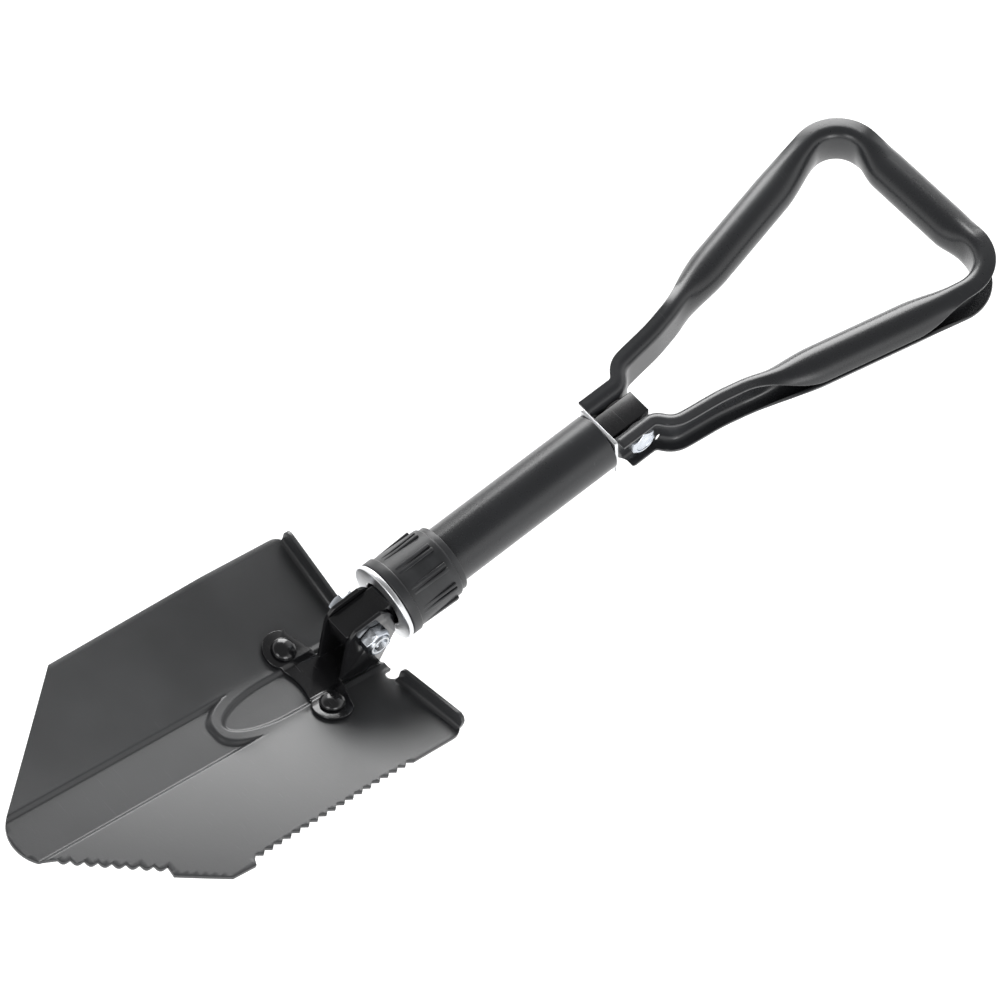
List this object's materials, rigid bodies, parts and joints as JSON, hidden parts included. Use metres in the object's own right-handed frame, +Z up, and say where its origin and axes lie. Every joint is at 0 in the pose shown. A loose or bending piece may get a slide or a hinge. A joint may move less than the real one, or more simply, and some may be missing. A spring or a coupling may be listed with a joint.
{
  "type": "folding camp shovel",
  "caption": "Tri-fold camp shovel with a dished pointed blade, a tubular shaft with a screw locking collar, and a folding D-shaped handle.",
  "frame": {"origin": "centre of the footprint, on the surface that the shovel lies on", "axes": "+X across the blade towards its saw edge, +Y along the shaft towards the D-handle, +Z up, out of the front of the blade"},
  "size_m": [0.143, 0.569, 0.0763],
  "materials": {
    "painted_blade": "satin black paint on pressed steel",
    "painted_frame": "semi-gloss black paint on steel",
    "collar_black": "moulded black plastic grip, satin",
    "bright_zinc": "bright zinc plate",
    "zinc_plate": "zinc-plated fastener",
    "plain_steel": "plain machined steel",
    "nylon": "natural nylon"
  },
  "bodies": {
    "shaft": {"stem_channel": "painted_frame", "shaft_tube": "painted_frame", "thread_sleeve": "plain_steel", "handle_plate": "bright_zinc", "blade_pin_sleeve": "plain_steel", "handle_pin_sleeve": "plain_steel"},
    "blade": {"blade": "painted_blade", "hinge_bracket": "painted_frame", "blade_rivet_left": "painted_frame", "blade_rivet_right": "painted_frame", "blade_pin_bolt": "zinc_plate", "blade_pin_nut": "zinc_plate", "blade_nut_ring": "nylon"},
    "handle": {"d_handle": "painted_frame", "handle_pin_bolt": "zinc_plate", "handle_pin_nut": "zinc_plate", "handle_nut_ring": "nylon", "handle_bush_left": "plain_steel", "handle_bush_right": "plain_steel"},
    "washer": {"collar_washer": "bright_zinc"},
    "collar": {"locking_collar": "collar_black"}
  },
  "joints": [
    {"name": "blade_fold", "type": "hinge", "parent": "shaft", "child": "blade", "pos_m": [-0.0015, -0.08739, 0.03362], "axis": [-1, 0, 0], "range_deg": [0, 162]},
    {"name": "handle_fold", "type": "hinge", "parent": "shaft", "child": "handle", "pos_m": [-0.0015, 0.07882, 0.02385], "axis": [-1, 0, 0], "range_deg": [0, 165]},
    {"name": "washer_slide", "type": "slide", "parent": "shaft", "child": "washer", "axis": [0, 0.9983, -0.0587], "range_m": [0, 0.006]},
    {"name": "collar_turn", "type": "hinge", "parent": "washer", "child": "collar", "pos_m": [-0.0015, -0.05246, 0.03157], "axis": [0, 0.9983, -0.0587], "range_deg": [0, 1080]}
  ],
  "couplings": [
    {"joint": "washer_slide", "follows": "collar_turn", "m_per_rad": 0.0003183}
  ]
}
